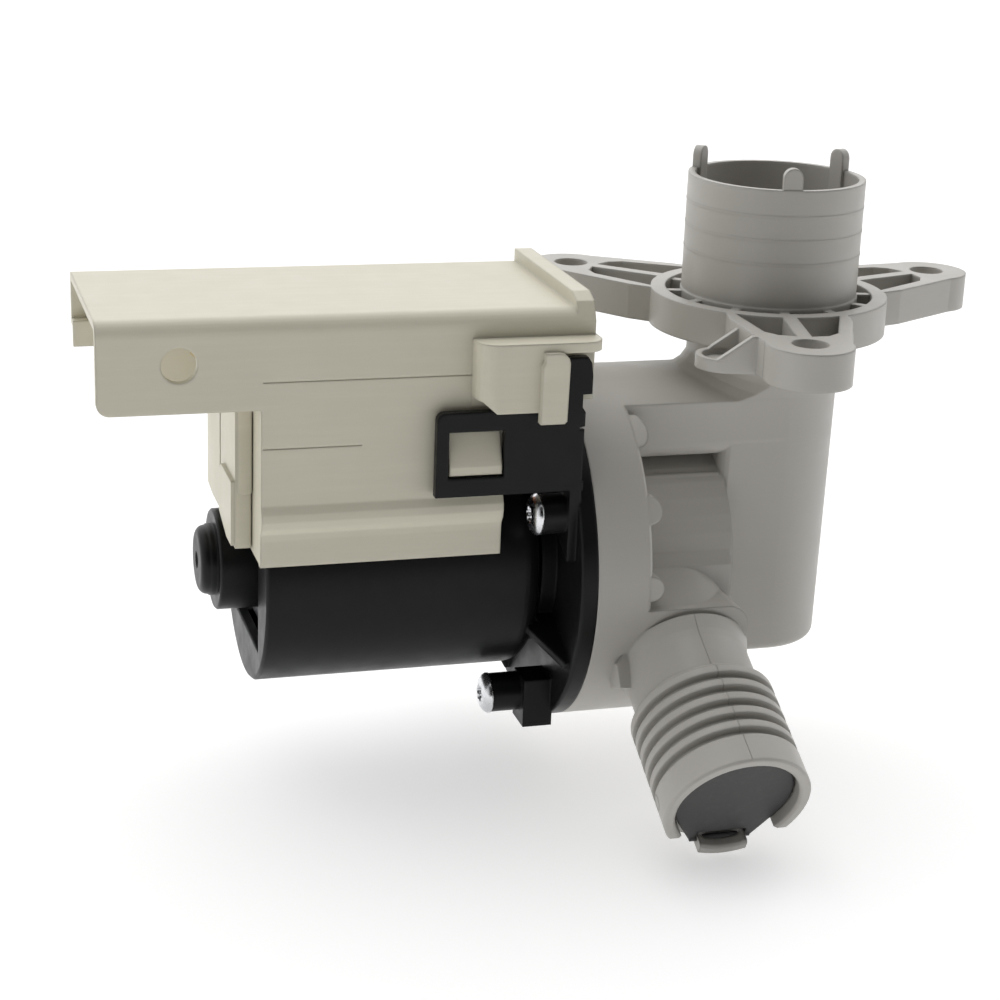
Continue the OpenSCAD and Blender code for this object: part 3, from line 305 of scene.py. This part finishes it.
def mesh_of(bm, name, smooth=True):
    """A mesh with its faces turned outwards; the bmesh is freed"""
    bmesh.ops.recalc_face_normals(bm, faces=bm.faces)
    mesh = bpy.data.meshes.new(name)
    bm.to_mesh(mesh)
    bm.free()
    for face in mesh.polygons:
        face.use_smooth = smooth
    return mesh


def skin_rings(bm, rings, closed=False):
    """Join rings of points into a skin; each ring is a closed loop of equal length"""
    loops = [[bm.verts.new(p) for p in ring] for ring in rings]
    pairs = list(zip(loops, loops[1:]))
    if closed:
        pairs.append((loops[-1], loops[0]))
    for low, high in pairs:
        n = len(low)
        for i in range(n):
            bm.faces.new((low[i], low[(i + 1) % n], high[(i + 1) % n], high[i]))
    return loops


def cap_ends(bm, loops):
    """Close the first and the last ring of a skin"""
    bm.faces.new(loops[0])
    bm.faces.new(loops[-1])


# One operator for each piece or group, and one for the stage

class PUMP_OT_stage(bpy.types.Operator):
    """Pale floor, soft studio light and the camera at the photograph's angle"""
    bl_idname = "pump.stage"
    bl_label = "Stage, light and camera"

    def studio_air(self, tree):
        """Light from above, behind and both sides, with a dark side towards the viewer"""
        air = tree.nodes["Background"]
        air.inputs["Color"].default_value = (1, 1, 1, 1)

        def node(kind, inputs=(), **settings):
            return add_node(tree, kind, inputs, **settings).outputs

        def ramp(value, low, high, strength):
            return node("ShaderNodeMapRange", {
                "Value": value, "From Min": low, "From Max": high, "To Min": 0.0,
                "To Max": strength}, interpolation_type="SMOOTHSTEP")["Result"]

        place = node("ShaderNodeTexCoord")["Generated"]
        lean = node("ShaderNodeVectorMath", {0: place, 1: (0, 0.6, 0.8)},
                    operation="DOT_PRODUCT")["Value"]
        across = node("ShaderNodeSeparateXYZ", {"Vector": place})["X"]
        side = node("ShaderNodeMath", {0: across}, operation="ABSOLUTE")[0]
        strongest = node("ShaderNodeMath", {
            0: ramp(lean, 0.2, 0.9, 1.5), 1: ramp(side, 0.5, 1.0, 0.7)}, operation="MAXIMUM")[0]
        tree.links.new(strongest, air.inputs["Strength"])

    def lay_floor(self):
        """Square floor a hair below the lowest point of the part"""
        half_side, gap = 4.0, 0.0005
        floor_z = CAD_BOX[0][2] - gap
        bm = bmesh.new()
        bm.faces.new([bm.verts.new((x * half_side, y * half_side, floor_z))
                      for x, y in ((-1, -1), (1, -1), (1, 1), (-1, 1))])
        mesh = mesh_of(bm, "studio_floor", smooth=False)
        mesh.materials.append(pale_floor("pale_floor"))
        add_object("studio_floor", mesh)

    def hang_lights(self):
        """Three square softboxes that point at the pump"""
        for name, place, aim, size, power in (
                ("top_softbox", (-0.25, 0.35, 0.9), (-0.05, 0, -0.06), 0.9, 1.2),
                ("left_softbox", (-1.0, 0.15, 0.3), (-0.05, 0, -0.06), 0.7, 0.6),
                ("right_softbox", (0.95, 0.1, 0.3), (0, 0, -0.05), 0.7, 0.6)):
            light = bpy.data.lights.new(name, "AREA")
            light.shape = "SQUARE"
            light.size = size
            light.energy = power
            lamp = add_object(name, light)
            lamp.location = place
            lamp.rotation_euler = (Vector(aim) - Vector(place)).to_track_quat("-Z", "Y").to_euler()

    def place_camera(self, scene):
        """The photograph's camera: azimuth and elevation first, then the roll"""
        az, el, roll = CAMERA_AZIMUTH, CAMERA_ELEVATION, CAMERA_ROLL
        forward = Vector((math.sin(az) * math.cos(el), math.cos(az) * math.cos(el), -math.sin(el)))
        right = Vector((math.cos(az), -math.sin(az), 0))
        down = forward.cross(right)
        x_axis = right * math.cos(roll) + down * math.sin(roll)
        y_axis = -(-right * math.sin(roll) + down * math.cos(roll))
        data = bpy.data.cameras.new("photo_camera")
        data.lens = CAMERA_LENS_MM
        data.sensor_width = CAMERA_SENSOR_MM
        camera = add_object("photo_camera", data)
        turn = Matrix((x_axis, y_axis, -forward)).transposed().to_4x4()
        camera.matrix_world = Matrix.Translation(CAMERA_PLACE) @ turn
        scene.camera = camera

    def execute(self, context):
        scene = context.scene
        world = bpy.data.worlds.new("studio_air")
        scene.world = world
        world.use_nodes = True
        self.studio_air(world.node_tree)
        self.lay_floor()
        self.hang_lights()
        self.place_camera(scene)
        scene.view_settings.view_transform = "Standard"
        return {"FINISHED"}


class PUMP_OT_housing(bpy.types.Operator):
    """Grey moulded plastic of the pump housing"""
    bl_idname = "pump.housing"
    bl_label = "Pump housing"

    def execute(self, context):
        look = context.scene.pump_colours
        size = context.scene.pump_sizes
        dress(moulded_plastic("housing_grey", look.housing, 0.42, size.edge, flow=0.12),
              "pump_housing")
        return {"FINISHED"}


class PUMP_OT_mould_marks(bpy.types.Operator):
    """Parting line along the top of the outlet and the round gate mark on its collar"""
    bl_idname = "pump.mould_marks"
    bl_label = "Mould marks on the outlet"

    def ridge(self, name, path, closed, proud):
        """Thin ridge on the skin; path holds places with the directions out and across"""
        half, crest, sunk = 0.00016, 0.00007, 0.00005
        section = ((-half, -sunk), (-crest, proud), (crest, proud), (half, -sunk))
        bm = bmesh.new()
        loops = skin_rings(bm, [[place + across * u + out * v for u, v in section]
                                for place, out, across in path], closed)
        if not closed:
            cap_ends(bm, loops)
        grey = NODES["pump_housing"].data.materials[0]
        return new_piece(name, mesh_of(bm, name, smooth=False), grey, "pump_body")

    def execute(self, context):
        cad = NODES["pump_housing"].data
        skin = BVHTree.FromPolygons([v.co for v in cad.vertices],
                                    [face.vertices[:] for face in cad.polygons])
        middle = Vector((OUTLET_X, 0, -AXIS_DROP))
        along = Vector((0, -math.cos(OUTLET_DIP), -math.sin(OUTLET_DIP)))
        up = Vector((0, -math.sin(OUTLET_DIP), math.cos(OUTLET_DIP)))
        side = Vector((1, 0, 0))
        probe_from, probe_depth = 0.02, 0.01

        def on_skin(station, turn):
            """The skin's place at a station along the outlet and a turn round its axis"""
            out = side * math.cos(turn) + up * math.sin(turn)
            start = middle + along * station + out * probe_from
            return skin.ray_cast(start, -out, probe_depth)[0], out

        line_start, line_step, line_steps = 0.0431, 0.0001, 460
        line_turn = math.radians(92.5)
        path = []
        for step in range(line_steps):
            place, out = on_skin(line_start + step * line_step, line_turn)
            if place:
                path.append((place, out, side))
        self.ridge("parting_line", path, closed=False, proud=0.00002)

        mark_station, mark_turn, mark_r, mark_steps = 0.0834, math.radians(190), 0.0018, 48
        collar_r = 0.018
        path = []
        for step in range(mark_steps):
            a = 2 * math.pi * step / mark_steps
            turn = mark_turn + mark_r * math.sin(a) / collar_r
            place, out = on_skin(mark_station + mark_r * math.cos(a), turn)
            around = up * math.cos(turn) - side * math.sin(turn)
            path.append((place, out, along * math.cos(a) + around * math.sin(a)))
        self.ridge("gate_mark", path, closed=True, proud=0.00006)
        return {"FINISHED"}


class PUMP_OT_shield(bpy.types.Operator):
    """Cream moulded plastic of the splash shield, the coil cover and the coil formers"""
    bl_idname = "pump.shield"
    bl_label = "Splash shield and coil cover"

    def harness_screen(self, cream):
        """Screen below the rear lip of the roof, seen through the harness hole"""
        low = Vector((-0.158, 0.01355, 0.039 - AXIS_DROP))
        high = Vector((-0.1423, 0.01455, 0.0522 - AXIS_DROP))
        bm = bmesh.new()
        bmesh.ops.create_cube(bm, size=1, matrix=Matrix.Translation((low + high) / 2)
                              @ Matrix.Diagonal((*(high - low), 1)))
        new_piece("harness_screen", mesh_of(bm, "harness_screen", smooth=False), cream,
                  "pump_body")

    def execute(self, context):
        look = context.scene.pump_colours
        size = context.scene.pump_sizes
        cream = moulded_plastic("shield_cream", look.shield, 0.45, size.edge, mottle=0.04, flow=0.3)
        dress(cream, "splash_shield", "coil_end_cover")
        self.harness_screen(cream)
        dress(moulded_plastic("former_white", (0.72, 0.69, 0.61), 0.4, size.edge * 0.6),
              "coil_former_front", "coil_former_rear")
        return {"FINISHED"}


class PUMP_OT_motor(bpy.types.Operator):
    """Black moulded plastic of the motor housing"""
    bl_idname = "pump.motor"
    bl_label = "Motor housing"

    def execute(self, context):
        look = context.scene.pump_colours
        size = context.scene.pump_sizes
        dress(moulded_plastic("motor_black", look.motor, 0.36, size.edge, grain=0.2, mottle=0.12,
                              specular=0.18), "motor_housing")
        return {"FINISHED"}


class PUMP_OT_rubber(bpy.types.Operator):
    """Black rubber of the check valve, the chamber seal and the bearing seats"""
    bl_idname = "pump.rubber"
    bl_label = "Valve disc and seals"

    def execute(self, context):
        look = context.scene.pump_colours
        size = context.scene.pump_sizes
        dress(soft_rubber("black_rubber", look.rubber, size.edge),
              "check_valve", "chamber_seal", "front_bearing_seat", "rear_bearing_seat")
        return {"FINISHED"}


class PUMP_OT_inner_parts(bpy.types.Operator):
    """Finishes of the rotor, the impeller and the bearings"""
    bl_idname = "pump.inner_parts"
    bl_label = "Rotor, impeller and bearings"

    def execute(self, context):
        edge = context.scene.pump_sizes.edge * 0.5
        dress(moulded_plastic("natural_nylon", (0.7, 0.68, 0.6), 0.38, edge),
              "impeller", "drive_dog", "bearing_cap", "thrust_washers")
        dress(plated_steel("steel_bright", (0.72, 0.73, 0.74), edge), "rotor_shaft")
        dress(moulded_plastic("sleeve_plastic", (0.03, 0.03, 0.033), 0.45, edge),
              "rotor_sleeve", "front_bearing", "rear_bearing")
        dress(moulded_plastic("ferrite", (0.035, 0.035, 0.037), 0.55, edge, grain=0.4, mottle=0.2),
              "rotor_magnet")
        return {"FINISHED"}


class PUMP_OT_stator(bpy.types.Operator):
    """Laminated core, wound copper coils and brass terminals"""
    bl_idname = "pump.stator"
    bl_label = "Core, windings and terminals"

    def wound_coil(self, name, wire):
        """Outer layer of one winding: a single wire that climbs round the coil's box"""
        corner_r, corner_steps, wire_sides = 0.0022, 4, 6
        low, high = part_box(name)
        r = wire / 2
        x0, y0, z0 = low.x + r, low.y + r, low.z + r
        x1, y1, z1 = high.x - r, high.y - r, high.z - r
        corners = [(x1 - corner_r, y1 - corner_r, 0), (x0 + corner_r, y1 - corner_r, 90),
                   (x0 + corner_r, y0 + corner_r, 180), (x1 - corner_r, y0 + corner_r, 270)]
        # One turn of the wire's middle line, each point with the direction out of the coil
        loop = []
        for cx, cy, start in corners:
            for k in range(corner_steps + 1):
                a = math.radians(start + 90 * k / corner_steps)
                loop.append((cx + corner_r * math.cos(a), cy + corner_r * math.sin(a),
                             math.cos(a), math.sin(a)))
        steps = int((z1 - z0) / wire) * len(loop)
        rings = []
        for step in range(steps + 1):
            px, py, nx, ny = loop[step % len(loop)]
            z = z0 + (z1 - z0) * step / steps
            ring = []
            for k in range(wire_sides):
                a = 2 * math.pi * k / wire_sides
                ring.append((px + nx * r * math.cos(a), py + ny * r * math.cos(a),
                             z + r * math.sin(a)))
            rings.append(ring)
        bm = bmesh.new()
        cap_ends(bm, skin_rings(bm, rings))
        # Inner layers, seen only as a backing between the turns
        backing_in, backing_past = r * 0.6, r * 0.8
        skin_rings(bm, [[(px - nx * backing_in, py - ny * backing_in, z)
                         for px, py, nx, ny in loop]
                        for z in (z0 - backing_past, z1 + backing_past)])
        return mesh_of(bm, name + "_wire")

    def execute(self, context):
        size = context.scene.pump_sizes
        dress(laminated_steel("core_steel", size.lamination), "stator_core")
        copper = enamelled_copper("copper_wire", context.scene.pump_colours.copper)
        for name in ("winding_front", "winding_rear"):
            coil = new_piece(name + "_wire", self.wound_coil(name, size.wire), copper,
                             "pump_body")
            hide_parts(name)
        dress(tinned_brass("terminal_brass"), "spade_terminals")
        return {"FINISHED"}


class PUMP_OT_screws(bpy.types.Operator):
    """Pan-head cover screws with a lobed recess"""
    bl_idname = "pump.screws"
    bl_label = "Cover screws"

    def screw(self, name, x0, x1, y, z):
        """One screw along X; x0 is the crown of the head, x1 the tip"""
        steps = 72
        head_r, head_depth, shank_r = 0.0051, 0.0024, 0.0021
        thread_pitch, thread_height, plain_tip = 0.0014, 0.00018, 0.003
        # Depth below the crown and radius, from the rim of the recess to the tip
        profile = [(0.0003, 0.0032), (0.00055, 0.004), (0.0011, 0.0047), (0.0018, head_r),
                   (head_depth, head_r), (head_depth, shank_r)]
        x = x0 + head_depth
        while x < x1 - plain_tip:
            profile += [(x - x0 + 0.0003, shank_r), (x - x0 + 0.0007, shank_r + thread_height),
                        (x - x0 + 0.0011, shank_r)]
            x += thread_pitch
        profile += [(x1 - x0 - 0.001, shank_r * 0.8), (x1 - x0 - 0.0001, 0.0005)]

        def ring(depth, radius, lobes=0.0):
            made = []
            for k in range(steps):
                a = 2 * math.pi * k / steps
                r = radius * (1 + lobes * math.cos(6 * a))
                made.append((x0 + depth, y + r * math.cos(a), z + r * math.sin(a)))
            return made

        # Floor, wall and rim of the six-lobed recess, then the round outside
        rings = [ring(0.0015, 0.0004), ring(0.0014, 0.0016, 0.14), ring(0.0005, 0.0018, 0.14),
                 ring(0.0001, 0.0019, 0.13), ring(0.0, 0.0022, 0.06)]
        rings += [ring(depth, radius) for depth, radius in profile]
        bm = bmesh.new()
        cap_ends(bm, skin_rings(bm, rings))
        return mesh_of(bm, name)

    def execute(self, context):
        steel = plated_steel("screw_steel", (0.78, 0.79, 0.81), 0.0001)
        # The four CAD screws stand in the four quarters round the motor axis
        quarters = {}
        for vertex in NODES["cover_screws"].data.vertices:
            quarter = (vertex.co.y > 0, vertex.co.z > -AXIS_DROP)
            quarters.setdefault(quarter, []).append(vertex.co.copy())
        for number, quarter in enumerate(sorted(quarters), 1):
            points = quarters[quarter]
            low = [min(p[i] for p in points) for i in range(3)]
            high = [max(p[i] for p in points) for i in range(3)]
            y, z = (low[1] + high[1]) / 2, (low[2] + high[2]) / 2
            name = f"cover_screw_{number}"
            new_piece(name, self.screw(name, low[0], high[0], y, z), steel,
                                    "pump_body")
        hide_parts("cover_screws")
        return {"FINISHED"}


class PUMP_PT_panel(bpy.types.Panel):
    """Lists the pump's colours, sizes and building steps"""
    bl_idname = "PUMP_PT_panel"
    bl_label = "Drain pump"
    bl_space_type = "VIEW_3D"
    bl_region_type = "UI"
    bl_category = "Drain pump"

    def draw(self, context):
        layout = self.layout
        for group in (context.scene.pump_colours, context.scene.pump_sizes):
            for key in group.__annotations__:
                layout.prop(group, key)
        for step in STEPS:
            layout.operator(step.bl_idname)


STEPS = (PUMP_OT_stage, PUMP_OT_housing, PUMP_OT_mould_marks, PUMP_OT_shield, PUMP_OT_motor,
         PUMP_OT_rubber, PUMP_OT_inner_parts, PUMP_OT_stator, PUMP_OT_screws)
CLASSES = (PumpColours, PumpSizes, *STEPS, PUMP_PT_panel)


def register():
    for made in CLASSES:
        bpy.utils.register_class(made)
    bpy.types.Scene.pump_colours = bpy.props.PointerProperty(type=PumpColours)
    bpy.types.Scene.pump_sizes = bpy.props.PointerProperty(type=PumpSizes)


def unregister():
    del bpy.types.Scene.pump_sizes
    del bpy.types.Scene.pump_colours
    for made in reversed(CLASSES):
        bpy.utils.unregister_class(made)


def main():
    register()
    for step in STEPS:
        family, name = step.bl_idname.split(".")
        getattr(getattr(bpy.ops, family), name)()


if __name__ == "__main__":
    main()
